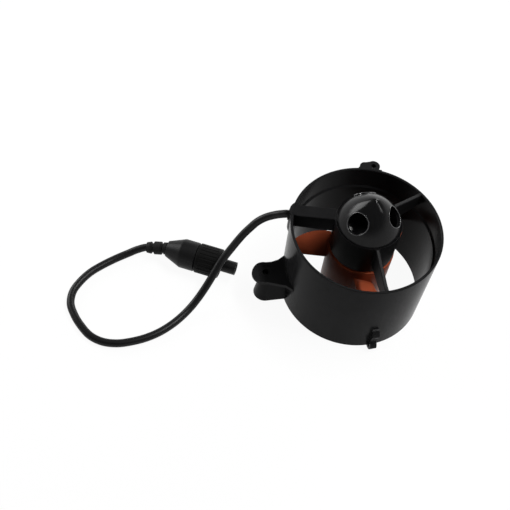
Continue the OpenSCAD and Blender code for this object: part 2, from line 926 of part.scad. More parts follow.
module plug_pins() {
  color("#d2b25a") on_plug() around(pin_count)
    translate([pin_ring_r, 0, insert_z + insert_len]) cylinder(r = pin_r, h = pin_out);
}

module plug_seal() {
  color("#0d0d0e") on_plug() translate([0, 0, seal_z])
    rotate_extrude() translate([barrel_r + 0.2, 0]) circle(seal_r, $fn = 24);
}

module coupling_ring() {
  edge = 1;
  color("#0e0e0f") on_plug() difference() {
    rotate_extrude() polygon([
      [neck_r + running, ring_z],
      [ring_r - edge, ring_z],
      [ring_r, ring_z + edge],
      [ring_r, ring_z + ring_len - edge],
      [ring_r - edge, ring_z + ring_len],
      [ring_in_r, ring_z + ring_len],
      [ring_in_r, ring_z + ring_back],
      [neck_r + running, ring_z + ring_back]
    ]);
    around(flutes) translate([ring_r + flute_r - flute_depth, 0, ring_z + 3])
      cylinder(r = flute_r, h = ring_len - 6, $fn = 24);
  }
}

function unit(v) = v / norm(v);

// Direction of the route at point i
function heading(i) =
  unit(route[min(i + 1, len(route) - 1)] - route[max(i - 1, 0)]);

// A ring of the cable at point i, square to the route and level at its sides
function cable_ring(i) =
  let (
    t = i == 0 ? [cos(conduit_a), sin(conduit_a), 0] : i == len(route) - 1 ? -relief_dir() : heading(i),
    across = unit(cross([0, 0, 1], t)),
    up = cross(t, across)
  ) [for (k = [0 : cable_sides - 1])
      let (a = 360 * k / cable_sides)
        route[i] + cable_d / 2 * (cos(a) * across + sin(a) * up)];

module cable() {
  n = cable_sides;
  rings = len(route);
  points = [for (i = [0 : rings - 1]) each cable_ring(i)];
  sides = [
    for (i = [0 : rings - 2])
      for (k = [0 : n - 1])
        let (m = (k + 1) % n)
          each [
            [i * n + k, (i + 1) * n + k, (i + 1) * n + m],
            [i * n + k, (i + 1) * n + m, i * n + m]
          ]
  ];
  ends = [
    [for (k = [0 : n - 1]) k],
    [for (k = [0 : n - 1]) (rings - 1) * n + n - 1 - k]
  ];
  color("#111112") polyhedron(points = points, faces = concat(sides, ends), convexity = 8);
}

duct_shell();
strut_frame();
nose_cap();
mount_bracket();
bracket_screws();
bearing_tube();
tube_screws();
stator_core();
stator_windings();
front_bearing();
rear_bearing();
lead_potting();
motor_leads();
cable_grommet();
propeller();
rotor_bell();
rotor_magnets();
bell_screws();
motor_shaft();
thrust_washer();
shaft_clip();
prop_washer();
prop_nut();
cable();
strain_relief();
plug_body();
plug_shank();
plug_insert();
plug_pins();
plug_seal();
coupling_ring();
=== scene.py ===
# %% [markdown]
# # A ducted underwater thruster
#
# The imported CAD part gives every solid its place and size. This lesson dresses it: smooth surfaces
# where the solids are made of flat facets, softened edges elsewhere, and a finish for each material.
# The scene is in metres, in the part's own frame: the duct stands on its rear rim at the origin, with
# its axis along +Z. Sizes of the pieces are written in millimetres, as on a drawing, and MM turns them
# into metres.

import json
import math

import bmesh
import bpy
import numpy as np
from mathutils import Matrix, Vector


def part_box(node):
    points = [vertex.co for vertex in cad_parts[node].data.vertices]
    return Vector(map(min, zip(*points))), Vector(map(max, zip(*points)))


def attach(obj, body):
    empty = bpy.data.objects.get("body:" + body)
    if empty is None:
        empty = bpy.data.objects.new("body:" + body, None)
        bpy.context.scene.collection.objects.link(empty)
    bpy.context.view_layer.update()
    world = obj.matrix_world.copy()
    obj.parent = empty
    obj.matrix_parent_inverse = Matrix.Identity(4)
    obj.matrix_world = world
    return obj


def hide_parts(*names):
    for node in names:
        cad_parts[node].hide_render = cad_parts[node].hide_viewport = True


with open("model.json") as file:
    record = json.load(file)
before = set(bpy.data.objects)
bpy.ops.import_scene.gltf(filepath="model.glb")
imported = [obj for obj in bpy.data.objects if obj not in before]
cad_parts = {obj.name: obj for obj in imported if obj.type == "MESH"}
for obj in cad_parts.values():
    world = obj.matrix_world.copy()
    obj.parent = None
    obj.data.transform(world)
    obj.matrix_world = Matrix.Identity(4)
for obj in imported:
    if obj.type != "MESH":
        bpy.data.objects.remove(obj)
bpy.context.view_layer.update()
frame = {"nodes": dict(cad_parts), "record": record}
nodes = frame["nodes"]
MM = 0.001
Z_AXIS = np.array([0, 0, 1])

# %% [markdown]
# ## Camera
#
# The photograph looks down at the thruster from the front left, with a slight roll. A camera can be
# placed by eye, but then every comparison with the photograph is a little off. So its axes and place
# come from fitting a pinhole to the two rims of the duct. A focal length of 800 pixels in a picture
# 510 pixels wide is a 56 mm lens on a 36 mm sensor.

# %% Place the camera
RIGHT = (0.984335, -0.162956, 0.067307)
UP = (0.099760, 0.829546, 0.549455)
BACK = (-0.145371, -0.534133, 0.832808)
EYE = (-0.178367, -0.335618, 0.583744)
FOCAL_PIXELS, PICTURE_PIXELS, SENSOR_WIDTH = 800, 510, 36.0
NEAREST, FURTHEST = 0.01, 20


def stood_at(right, up, back, place):
    """The matrix that stands an object at a place: its columns are the three axes and the place."""
    columns = (right, up, back, place)
    return Matrix([[float(c[row]) for c in columns] for row in range(3)] + [[0, 0, 0, 1]])


camera_data = bpy.data.cameras.new("camera")
camera_data.sensor_width = SENSOR_WIDTH
camera_data.lens = SENSOR_WIDTH * FOCAL_PIXELS / PICTURE_PIXELS
camera_data.clip_start, camera_data.clip_end = NEAREST, FURTHEST
camera = bpy.data.objects.new("camera", camera_data)
camera.matrix_world = stood_at(RIGHT, UP, BACK, EYE)
bpy.context.scene.collection.objects.link(camera)
bpy.context.scene.camera = camera
print("lens:", round(camera_data.lens, 2), "mm")

# %% [markdown]
# ## Meshes from grids of points
#
# Every new piece is one or more grids of points. Blender's own circles and spins could build the same
# shapes, but a formula on a grid says the shape in a few lines and gives the same mesh on every run.
# A grid is worked out as a whole array, and its faces join each point to its neighbours. Rows or
# columns can wrap round, which closes a tube. Points that fall together, as at the tip of a nose, are
# merged so that the surface has no seam.

# %% Turn grids into a mesh
MERGE_DISTANCE = 1e-6


def grid_faces(rows, columns, wrap_rows, wrap_columns):
    """Quads of a grid: point (i, j) joins (i, j + 1), (i + 1, j + 1) and (i + 1, j), modulo the size."""
    i, j = np.meshgrid(
        np.arange(rows - (not wrap_rows)),
        np.arange(columns - (not wrap_columns)),
        indexing="ij",
    )
    down, across = (i + 1) % rows, (j + 1) % columns
    corners = [i * columns + j, i * columns + across, down * columns + across, down * columns + j]
    return np.stack(corners, -1).reshape(-1, 4)


def tidied(mesh):
    """Merges points that fall together, drops faces without area and turns all faces outwards."""
    work = bmesh.new()
    work.from_mesh(mesh)
    bmesh.ops.remove_doubles(work, verts=work.verts, dist=MERGE_DISTANCE)
    bmesh.ops.dissolve_degenerate(work, edges=work.edges, dist=MERGE_DISTANCE)
    bmesh.ops.recalc_face_normals(work, faces=work.faces)
    work.to_mesh(mesh)
    work.free()
    return mesh


def mesh_from_grids(name, grids, straightened=None):
    """Joins grids, given as (points, wrap rows, wrap columns), into one closed, outward-facing mesh.

    Where a pattern follows the surface, straightened gives each point a second place to read it from.
    """
    points, faces, start = [], [], 0
    for grid, wrap_rows, wrap_columns in grids:
        rows, columns = grid.shape[:2]
        points.append(grid.reshape(-1, 3))
        faces.append(grid_faces(rows, columns, wrap_rows, wrap_columns) + start)
        start += rows * columns
    mesh = bpy.data.meshes.new(name)
    mesh.from_pydata(np.concatenate(points).tolist(), [], np.concatenate(faces).tolist())
    if straightened is not None:
        second_place = mesh.attributes.new("straightened", "FLOAT_VECTOR", "POINT")
        second_place.data.foreach_set("vector", straightened.astype(np.float32).ravel())
    return tidied(mesh)


print("a tube of 3 rings of 4 points has", len(grid_faces(3, 4, False, True)), "faces")

# %% Show a mesh as a piece of the part
SHARP_ANGLE = 40


def show(name, mesh, body, slot, *stands_for):
    """Puts a finished mesh into the scene on a CAD body, in place of the nodes that it stands for."""
    mesh.polygons.foreach_set("use_smooth", np.ones(len(mesh.polygons), bool))
    mesh.set_sharp_from_angle(angle=math.radians(SHARP_ANGLE))
    piece = bpy.data.objects.new(name, mesh)
    bpy.context.scene.collection.objects.link(piece)
    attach(piece, body)
    if stands_for:
        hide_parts(*stands_for)
    print(name, "faces:", len(mesh.polygons))
    return piece


print("edges stay sharp from", SHARP_ANGLE, "degrees")

# %% [markdown]
# ## Cable
#
# The cable leaves the duct, passes over the plug, lies in one loop on the floor and comes back into
# the plug's ribbed boot. A curve object with a round bevel would make such a tube. Here it is a grid,
# because each point can then keep a second place, the one that it would have if the cable lay
# straight, and the jacket's drawn lines can follow the cable round its bends. The route's points are
# those of the CAD source. A smooth curve through them carries a round section: at each point the
# section is square to the curve and level at its sides.

# %% Set out the cable's route
CABLE_D = 6.5
PLUG_AT = np.array([-152, 46, 12.8])
RELIEF_A, RELIEF_DIP, RELIEF_LEN = math.radians(161), math.radians(12), 18
OUTLET_A, OUTLET_R, OUTLET_Z = math.radians(156), 62.4, 75.8

relief_dir = np.array([
    math.cos(RELIEF_A) * math.cos(RELIEF_DIP),
    math.sin(RELIEF_A) * math.cos(RELIEF_DIP),
    -math.sin(RELIEF_DIP),
])
outlet_dir = np.array([math.cos(OUTLET_A), math.sin(OUTLET_A), 0])
ROUTE = np.array([
    [*(OUTLET_R * outlet_dir[:2]), OUTLET_Z],
    [-61.5, 27.2, 74], [-68, 29.6, 70], [-74, 30.4, 66.8], [-80, 30.2, 62.6],
    [-86, 28.8, 56.8], [-91, 27.2, 51.8], [-96, 25, 46.2], [-101, 22.6, 40], [-106, 20, 34],
    [-111, 16.6, 28.6], [-116, 11.6, 24], [-121, 6.2, 19.2], [-126.5, 1, 14], [-132.5, -4.2, 9],
    [-139, -9.6, 5.4], [-147, -16, 3.6], [-156, -22.4, 3.3], [-166, -27.8, 3.3], [-177, -31.6, 3.3],
    [-189, -33.6, 3.3], [-201, -33.8, 3.3], [-212, -31, 3.3], [-221.2, -24.8, 3.3],
    [-228.4, -14.6, 3.3], [-233.4, -3.6, 3.3], [-236, 8, 3.3], [-233.6, 19, 3.3], [-227, 28.2, 3.3],
    [-218.4, 36, 3.3], [-208, 42, 3.3], [-197, 47, 3.4], [-186, 50.4, 4.6], [-177, 52, 7],
    PLUG_AT + RELIEF_LEN * relief_dir,
]) * MM


def smooth_path(points, first_dir, last_dir, per_span=8):
    """Cubic curve through the points: each span is a Hermite blend of its ends and their headings."""
    span = np.linalg.norm(np.diff(points, axis=0), axis=1)
    heading = np.gradient(points, np.concatenate([[0], np.cumsum(span)]), axis=0)
    heading[0], heading[-1] = first_dir, last_dir
    t = np.linspace(0, 1, per_span, endpoint=False)[None, :, None]
    a, b = points[:-1, None], points[1:, None]
    da, db = heading[:-1, None] * span[:, None, None], heading[1:, None] * span[:, None, None]
    blend = (
        (2 * t**3 - 3 * t**2 + 1) * a
        + (t**3 - 2 * t**2 + t) * da
        + (3 * t**2 - 2 * t**3) * b
        + (t**3 - t**2) * db
    )
    return np.concatenate([blend.reshape(-1, 3), points[-1:]])


cable_path = smooth_path(ROUTE, outlet_dir, -relief_dir)
steps_along = np.concatenate([[0], np.cumsum(np.linalg.norm(np.diff(cable_path, axis=0), axis=1))])

# %% Lay the cable along its route


def unit(v):
    """Vectors of length one along the last axis."""
    return v / np.linalg.norm(v, axis=-1, keepdims=True)


def round_angles(steps):
    """Angles of points that are spaced evenly round a circle, in radians."""
    return np.linspace(0, 2 * np.pi, steps, endpoint=False)


def closed(grid, first, last):
    """A grid with one more row at each end, drawn together to one point."""
    ends = [np.broadcast_to(point, (1, grid.shape[1], 3)) for point in (first, last)]
    return np.concatenate([ends[0], grid, ends[1]])


def closed_tube(path, radius, first_dir, last_dir, sides=24):
    """Circle of a radius carried along a path, closed at both ends; its first side lies level."""
    along = np.gradient(path, axis=0)
    along[0], along[-1] = first_dir, last_dir
    along = unit(along)
    side = unit(np.cross(Z_AXIS, along))
    top = np.cross(along, side)
    angle = round_angles(sides)[:, None, None]
    tube = np.moveaxis(path + radius * (np.cos(angle) * side + np.sin(angle) * top), 0, 1)
    return closed(tube, path[0], path[-1])


straight_dir = np.array([1.0, 0, 0])
straight_path = steps_along[:, None] * straight_dir
tube = closed_tube(cable_path, CABLE_D / 2 * MM, outlet_dir, -relief_dir)
straight_tube = closed_tube(straight_path, CABLE_D / 2 * MM, straight_dir, straight_dir)
cable_mesh = mesh_from_grids("cable_jacket", [(tube, False, True)], straight_tube)
cable = show("cable_jacket", cable_mesh, "housing", "cable_jacket", "cable")

# %% [markdown]
# ## Nose cap
#
# The nose is a hollow bullet with three round vents. In the solids its outline is made of short
# straight steps, which would show as rings in a gloss finish. A subdivision surface would smooth them
# but round off the vents too. So the same formula is drawn with many more points, turned about the
# axis, and the vents are cut with cylinders.

# %% Draw the nose's outline
POD_TOP, NOSE_R, NOSE_H, NOSE_WALL = 92.0, 25.7, 27.5, 2.2
SPIGOT_R, SPIGOT_IN, SPIGOT_H, SPIGOT_EDGE = 23.4, 22.1, 6.0, 0.5
NOSE_BULGE, HOLLOW_BULGE, RADIUS_POWER = 1.3, 1.47, 1.3


def nose_share(s, bulge):
    """Share of the base radius at a share s of the height: (1 - s^bulge)^(1 / radius power)."""
    return (1 - s**bulge).clip(0) ** (1 / RADIUS_POWER)


def nose_outline(radius, height, bulge, steps=70):
    """Outline from the base to the tip, with points drawn together near the tip."""
    s = 1 - np.linspace(1, 0, steps) ** 2
    return np.stack([radius * nose_share(s, bulge), POD_TOP + height * s], 1)


outside = nose_outline(NOSE_R, NOSE_H, NOSE_BULGE)
inside = nose_outline(SPIGOT_IN, NOSE_H - NOSE_WALL, HOLLOW_BULGE)
spigot_low = POD_TOP - SPIGOT_H
spigot = [
    [SPIGOT_IN, spigot_low + SPIGOT_EDGE], [SPIGOT_IN + SPIGOT_EDGE, spigot_low],
    [SPIGOT_R - SPIGOT_EDGE, spigot_low], [SPIGOT_R, spigot_low + SPIGOT_EDGE], [SPIGOT_R, POD_TOP],
]
nose_profile = np.concatenate([inside[::-1], spigot, outside])
print("nose outline points:", len(nose_profile))

# %% Place the vents
VENT_A, VENT_FROM, VENT_TILT, VENT_R, VENT_COUNT = 96.0, 4.0, 64.0, 8.5, 3


def vent_axes():
    """Start and direction of each vent: from a point on the axis, tilted outwards from +Z."""
    turn = np.radians(VENT_A + np.arange(VENT_COUNT) * 360 / VENT_COUNT)
    tilt = math.radians(VENT_TILT)
    outward = np.stack([np.cos(turn), np.sin(turn), 0 * turn], 1)
    start = np.array([0, 0, POD_TOP + VENT_FROM])
    return start, math.sin(tilt) * outward + math.cos(tilt) * Z_AXIS


def vent_ring(axis, angle):
    """Circle of the vent's radius about an axis, drawn by a level side and the side square to it."""
    side = unit(np.cross(Z_AXIS, axis))
    return VENT_R * (np.cos(angle) * side + np.sin(angle) * np.cross(axis, side))


def vent_cutters(length=40, sides=72):
    """A closed cylinder for each vent, from the nose's axis to well outside its wall."""
    start, axes = vent_axes()
    reach = np.array([0, 0, length, length])[:, None, None]
    radius_share = np.array([0, 1, 1, 0])[:, None, None]
    angle = round_angles(sides)[None, :, None]
    grids = []
    for axis in axes:
        cylinder = start + reach * axis + radius_share * vent_ring(axis, angle)
        grids.append((cylinder * MM, False, True))
    return grids


cutters = vent_cutters()
print("vents:", len(cutters), "of radius", VENT_R, "mm")

# %% Turn the nose cap and cut its vents


def turned(profile, steps=160):
    """Profile points (radius, height), in millimetres, carried round the Z axis."""
    angle = round_angles(steps)[:, None]
    radius, height = np.asarray(profile, float).T * MM
    return np.stack([radius * np.cos(angle), radius * np.sin(angle), height + 0 * angle], -1)


def combined(name, first, second, operation):
    """Two sets of grids as one mesh: the second is cut from the first, or joined to it."""
    blanks = []
    for grids in (first, second):
        blank = bpy.data.objects.new(f"{name}_blank", mesh_from_grids(f"{name}_blank", grids))
        bpy.context.scene.collection.objects.link(blank)
        blanks.append(blank)
    step = blanks[0].modifiers.new("combine", "BOOLEAN")
    step.object, step.operation, step.solver = blanks[1], operation, "EXACT"
    finished = blanks[0].evaluated_get(bpy.context.evaluated_depsgraph_get())
    mesh = bpy.data.meshes.new_from_object(finished)
    for blank in blanks:
        bpy.data.objects.remove(blank)
    return tidied(mesh)


nose_mesh = combined("nose_shell", [(turned(nose_profile), True, False)], cutters, "DIFFERENCE")
nose = show("nose_shell", nose_mesh, "housing", "nose_plastic", "nose_cap")

# %% [markdown]
# ## Vent beads
#
# Each vent's edge is rolled over and catches the light as a thin bright line. A bevel on the cut would
# be uneven, because the boolean leaves long thin faces there. A slim tube along the edge gives an even
# bead. The edge lies where the vent's cylinder leaves the nose, and halving finds it. The bead's finish
# is also paler than the nose's black: a painted highlight that brightens the line beside its real gloss.

# %% Roll a bead round each vent
BEAD_R = 0.4
EDGE_NEAR, EDGE_FAR, HALVINGS = 2.0, 40.0, 40


def vent_beads(steps=96, sides=10):
    """Closed tubes along the vents' edges.

    Each point of a vent's ring moves along the vent's axis, from a distance inside the nose to one
    outside it. The half way point replaces the one or the other, until both meet at the surface.
    """
    start, axes = vent_axes()
    around = round_angles(sides)[None, :, None]
    grids = []
    for axis in axes:
        ring = start + vent_ring(axis, round_angles(steps)[:, None])
        near, far = np.full((steps, 1), EDGE_NEAR), np.full((steps, 1), EDGE_FAR)
        for _ in range(HALVINGS):
            halfway = (near + far) / 2
            point = ring + halfway * axis
            s = ((point[:, 2:] - POD_TOP) / NOSE_H).clip(0, 1)
            within = np.hypot(point[:, :1], point[:, 1:2]) < NOSE_R * nose_share(s, NOSE_BULGE)
            near, far = np.where(within, halfway, near), np.where(within, far, halfway)
        edge = ring + near * axis
        along = unit(np.roll(edge, -1, 0) - np.roll(edge, 1, 0))
        across = unit(np.cross(along, axis))
        upright = np.cross(across, along)
        section = np.cos(around) * across[:, None] + np.sin(around) * upright[:, None]
        grids.append(((edge[:, None] + BEAD_R * section) * MM, True, True))
    return grids


beads = show("vent_beads", mesh_from_grids("vent_beads", vent_beads()), "housing", "nose_plastic")

# %% [markdown]
# ## Gate mark
#
# A small pale spot shows on the near left of the duct, just below the front rim. It is read as a gate
# mark: the low round stub that is left where the plastic entered the mould. A spot of colour in the
# finish would look painted on from the side. So a shallow dome stands a little out of the wall, and its
# underside closes it inside the wall.

# %% Raise the gate mark
GATE_AT = np.array([-57.22, -18.05, 74.65])
GATE_R, GATE_PROUD, GATE_SUNK = 1.3, 0.3, 0.5


def gate_dome(rings=8, sides=32):
    """A dome whose height falls with the square of the radius share, closed by a flat underside."""
    outward = unit(GATE_AT * [1, 1, 0])
    level = np.cross(Z_AXIS, outward)
    dome = np.linspace(0, 1, rings)
    share = np.append(dome, [1, 0])[:, None, None]
    rise = np.append(GATE_PROUD * (1 - dome**2), [-GATE_SUNK, -GATE_SUNK])[:, None, None]
    turn = round_angles(sides)[None, :, None]
    disc = GATE_R * share * (np.cos(turn) * level + np.sin(turn) * Z_AXIS)
    return (GATE_AT + disc + rise * outward) * MM


gate_mesh = mesh_from_grids("gate_mark", [(gate_dome(), False, True)])
gate = show("gate_mark", gate_mesh, "housing", "duct_plastic")

# %% [markdown]
# ## Bracket screws
#
# Four countersunk screws hold the arm from inside the duct, so their heads show in its throat. The
# solids leave out the drive. It could be cut with a hexagonal prism, but a boolean leaves slivers on
# such small heads. Here each screw is one grid of the solid's sizes: its inner rows follow a hexagon,
# which makes the socket, and its outer rows are round. Each screw came to rest at its own angle. How
# deep the heads lie and how long the screws are is read from the node's box.

# %% Turn the screws with their sockets
SCREW_Y, SCREW_Z, SCREW_TURNS = (-3.8, 3.8), (8.5, 19.5), (10, 40, 25, 55)
SCREW_R, HEAD_R, HEAD_H, HEAD_EDGE = 1.75, 3.6, 1.8, 0.2
SOCKET_R, SOCKET_DEPTH, SOCKET_POINT = 1.45, 1.1, 0.4
CORNER_STEP = 60
screw_low, screw_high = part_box("bracket_screws")
screw_length = (screw_high[0] - screw_low[0]) / MM
edge_depth = HEAD_EDGE * HEAD_H / (HEAD_R - SCREW_R)
screw_profile = np.array([
    [HEAD_R - 2 * HEAD_EDGE, 0], [HEAD_R - HEAD_EDGE, edge_depth], [SCREW_R, HEAD_H],
    [SCREW_R, screw_length - HEAD_EDGE], [SCREW_R - HEAD_EDGE, screw_length], [0, screw_length],
])


def screw_grid(degrees, y, z, sides=48):
    """Rows from the socket's point up its hexagonal wall, over the head and down the shank.

    A hexagon's radius at an angle from its corner is R cos 30 / cos(angle mod 60 - 30). The screw is
    built along +Z, turned by degrees and laid along -X: (x, y, z) goes to (-z, y, x).
    """
    turn = np.arange(sides) * 360 / sides
    half_step = CORNER_STEP / 2
    to_flat = SOCKET_R * math.cos(math.radians(half_step))
    hexagon = to_flat / np.cos(np.radians(turn % CORNER_STEP - half_step))
    radius_out, along = screw_profile.T[:, :, None]
    radius = np.concatenate([[0 * turn, hexagon, hexagon], radius_out + 0 * turn])
    depth = np.concatenate([[[SOCKET_DEPTH + SOCKET_POINT], [SOCKET_DEPTH], [0]], along])
    angle = np.radians(turn + degrees)
    rise, level, back = radius * np.cos(angle), radius * np.sin(angle), -depth + 0 * turn
    return np.stack([back, level + y, rise + z], -1) * MM + np.array([screw_high[0], 0, 0])


screw_places = [(y, z) for y in SCREW_Y for z in SCREW_Z]
screw_grids = [(screw_grid(a, y, z), False, True) for a, (y, z) in zip(SCREW_TURNS, screw_places)]
screw_mesh = mesh_from_grids("socket_screws", screw_grids)
screws = show("socket_screws", screw_mesh, "housing", "fastener_steel", "bracket_screws")

# %% [markdown]
# ## Propeller
#
# The propeller is one orange moulding: a cup with a round tail, and three blades. A blade can be
# sculpted by hand, but it has to keep the pitch and camber of the solid. So each blade is a set of thin
# rounded sections, carried from the hub to the tip: the pitch turns them, the belly widens them, and
# they thicken into a fillet where they grow out of the hub. A boolean then joins hub and blades into
# one closed mesh.

# %% Draw the hub
HUB_R, HUB_BASE, HUB_TOP, HUB_TAIL, HUB_EDGE = 26.6, 6.0, 58.0, 5.0, 0.8
HUB_BORE, WEB_LOW, WEB_HIGH, SHAFT_HOLE = 23.0, 12.0, 18.0, 3.05
RECESS_R, RECESS_EDGE = 17.6, 0.5


def rounded(centre, size, start, end, steps=6):
    """A quarter circle of a size about a centre, from one angle to another, in degrees."""
    a = np.radians(np.linspace(start, end, steps))
    return np.stack([centre[0] + size * np.cos(a), centre[1] + size * np.sin(a)], 1)


hub_profile = np.concatenate([
    [[SHAFT_HOLE, WEB_LOW], [RECESS_R, WEB_LOW]],
    [[RECESS_R, HUB_BASE + RECESS_EDGE], [RECESS_R + RECESS_EDGE, HUB_BASE]],
    rounded((HUB_R - HUB_TAIL, HUB_BASE + HUB_TAIL), HUB_TAIL, -90, 0, steps=14),
    rounded((HUB_R - HUB_EDGE, HUB_TOP - HUB_EDGE), HUB_EDGE, 0, 90),
    [[HUB_BORE, HUB_TOP], [HUB_BORE, WEB_HIGH], [SHAFT_HOLE, WEB_HIGH]],
])
print("hub outline points:", len(hub_profile))

# %% Loft a blade
BLADE_ROOT, BLADE_TIP, BLADE_PITCH, BLADES = 24.8, 55.4, 110.0, 3
ROOT_CHORD, TIP_CHORD, BELLY, ROOT_T, TIP_T = 22.0, 11.0, 1.0, 3.6, 1.6
REAR_A, REAR_Z, CAMBER = 166.0, 37.5, 0.04
FILLET, FILLET_FADE, FILLET_SPAN = 2.2, 1.1, 0.25
EDGE_SHARE, EDGE_FROM, SECTION_POWER = 0.14, 0.999, 0.6


def blade_grid(stations=48, half=20):
    """Section j of station i: along the chord from the rear edge, offset by camber and half thickness.

    The chord lies at the pitch angle atan(pitch / 2 pi r): a step along it lowers the polar angle and
    raises z. It narrows with the cube of the way to the tip, and the belly adds a parabola. A section
    is thickest in its middle, by a power of 1 - x^2, and closes at both edges. Thickness grows near
    the hub by a falling exponential, which makes the root fillet, and stations lie closer there.
    """
    near_hub = np.linspace(0, FILLET_SPAN, stations // 3, endpoint=False)
    u = np.concatenate([near_hub, np.linspace(FILLET_SPAN, 1, stations)])[:, None]
    radius = BLADE_ROOT + (BLADE_TIP - BLADE_ROOT) * u
    pitch = np.arctan(BLADE_PITCH / (2 * np.pi * radius))
    chord = ROOT_CHORD + (TIP_CHORD - ROOT_CHORD) * u**3 + 4 * BELLY * u * (1 - u)
    fillet = FILLET * np.exp(-((radius - HUB_R).clip(0)) / FILLET_FADE)
    thick = ROOT_T + (TIP_T - ROOT_T) * u + fillet
    x = -np.cos(np.pi * np.linspace(0, 1, half))
    x = np.concatenate([x, x[-2:0:-1]])[None]
    side = np.where(np.arange(x.size) < half, -1.0, 1.0)[None]
    section = EDGE_SHARE + (1 - EDGE_SHARE) * (1 - x**2).clip(0) ** SECTION_POWER
    section = np.where(np.abs(x) > EDGE_FROM, 0, section)
    along = (x + 1) * chord / 2
    offset = CAMBER * chord * (1 - x**2) + side * section * thick / 2
    angle = math.radians(REAR_A) + (offset * np.sin(pitch) - along * np.cos(pitch)) / radius
    rise = along * np.sin(pitch) + offset * np.cos(pitch)
    grid = np.stack([radius * np.cos(angle), radius * np.sin(angle), REAR_Z + rise], -1)
    return closed(grid, grid[0].mean(0), grid[-1].mean(0)) * MM


blade = blade_grid()
print("rows and columns of a blade:", blade.shape[:2])

# %% Join the blades to the hub


def spun(grid, degrees):
    """A grid turned about the Z axis: x cos - y sin, x sin + y cos, and z as it was."""
    c, s = math.cos(math.radians(degrees)), math.sin(math.radians(degrees))
    return grid @ np.array([[c, s, 0], [-s, c, 0], [0, 0, 1]])


blade_grids = [(spun(blade, 360 / BLADES * k), False, True) for k in range(BLADES)]
hub_grids = [(turned(hub_profile), True, True)]
propeller_mesh = combined("propeller_moulding", hub_grids, blade_grids, "UNION")
propeller = show("propeller_moulding", propeller_mesh, "rotor", "orange_plastic", "propeller")

# %% [markdown]
# ## Softened edges on the solids
#
# The other solids keep their own shape. A moulded or turned edge is never knife sharp, so each of them
# gets a small round on its sharp edges. Each could be drawn again with rounds, but modifiers do it
# without moving a point of the solid's own mesh. The solids come as loose triangles: they are joined
# first, and what falls together in the rounds is merged. The shading is weighted by face size so that
# flat faces stay flat.

# %% Round the sharp edges
ROUND_MM = {
    "duct_shell": 0.35, "strut_frame": 0.5, "mount_bracket": 0.7, "plug_body": 0.4,
    "strain_relief": 0.35, "coupling_ring": 0.15, "plug_shank": 0.35, "cable_grommet": 0.3,
}
JOIN_DISTANCE, ROUND_ANGLE, ROUND_STEPS = 2e-6, math.radians(38), 2


def soften(node, width):
    """Joins a node's triangles and rounds its edges by a width in millimetres."""
    mesh = node.data
    mesh.polygons.foreach_set("use_smooth", np.ones(len(mesh.polygons), bool))
    node.modifiers.new("join", "WELD").merge_threshold = JOIN_DISTANCE
    bevel = node.modifiers.new("round", "BEVEL")
    bevel.width, bevel.segments = width * MM, ROUND_STEPS
    bevel.limit_method, bevel.angle_limit = "ANGLE", ROUND_ANGLE
    bevel.use_clamp_overlap = True
    bevel.harden_normals = True
    node.modifiers.new("clean", "WELD").merge_threshold = JOIN_DISTANCE
    node.modifiers.new("flat", "WEIGHTED_NORMAL").keep_sharp = True


for name, width in ROUND_MM.items():
    soften(nodes[name], width)
print("softened:", ", ".join(ROUND_MM))

# %% [markdown]
# ## Moulded grain
#
# Three effects are used by many finishes. Each could be wired anew in every material, but a node group
# is built once and takes its own values in each. The first is the grain that a mould leaves on
# plastic: a fine noise gives a height for bump, and a slow one gives a mottle for tone and gloss.

# %% Build the grain group
GRAIN_SCALE, MOTTLE_SCALE = 9000.0, 60.0
FINE_DETAIL, SLOW_DETAIL = 2.0, 4.0


def new_group(name, inputs, outputs):
    """A shader node group: each input has a label and a default, and the outputs are numbers."""
    tree = bpy.data.node_groups.new(name, "ShaderNodeTree")
    for label, default in inputs:
        kind = "NodeSocketFloat" if isinstance(default, float) else "NodeSocketVector"
        tree.interface.new_socket(label, in_out="INPUT", socket_type=kind).default_value = default
    for label in outputs:
        tree.interface.new_socket(label, in_out="OUTPUT", socket_type="NodeSocketFloat")
    return tree, tree.nodes.new("NodeGroupInput"), tree.nodes.new("NodeGroupOutput")


def add(tree, kind, links=(), **settings):
    """A node with settings, and its inputs set to values or linked to other sockets."""
    node = tree.nodes.new(kind)
    for key, value in settings.items():
        setattr(node, key, value)
    for key, value in links:
        if isinstance(value, bpy.types.NodeSocket):
            tree.links.new(value, node.inputs[key])
        else:
            node.inputs[key].default_value = value
    return node


def noise(tree, place, scale, detail):
    """Noise from zero to one, read at a place."""
    links = [("Vector", place), ("Scale", scale), ("Detail", detail)]
    return add(tree, "ShaderNodeTexNoise", links).outputs["Fac"]


def grain_group():
    """Height is fine noise and Tone is slow noise, both read at Place."""
    inputs = [("Place", (0.0, 0.0, 0.0)), ("Grain", GRAIN_SCALE), ("Mottle", MOTTLE_SCALE)]
    tree, given, out = new_group("moulded_grain", inputs, ["Height", "Tone"])
    place = given.outputs["Place"]
    tree.links.new(noise(tree, place, given.outputs["Grain"], FINE_DETAIL), out.inputs["Height"])
    tree.links.new(noise(tree, place, given.outputs["Mottle"], SLOW_DETAIL), out.inputs["Tone"])
    return tree


GRAIN = grain_group()
print("group:", GRAIN.name, "nodes:", len(GRAIN.nodes))

# %% [markdown]
# ## Edge wear
#
# Edges that are handled turn paler. They could be painted by hand, but a formula finds them on every
# piece: it compares the surface with a rounded copy of itself, which differs only at edges, and noise
# breaks the line up.

# %% Build the wear group
WEAR_RADIUS, WEAR_SAMPLES = 0.0006, 4
WEAR_STARTS, WEAR_FULL = 0.99, 0.8
BREAK_SCALE, BREAK_DETAIL = 420.0, 3.0


def own_place(tree):
    """The piece's own coordinates, in metres."""
    return add(tree, "ShaderNodeTexCoord").outputs["Object"]


def calculated(tree, operation, first, second, use_clamp=False):
    """The result of an operation on two values."""
    links = [(0, first), (1, second)]
    return add(tree, "ShaderNodeMath", links, operation=operation, use_clamp=use_clamp).outputs[0]


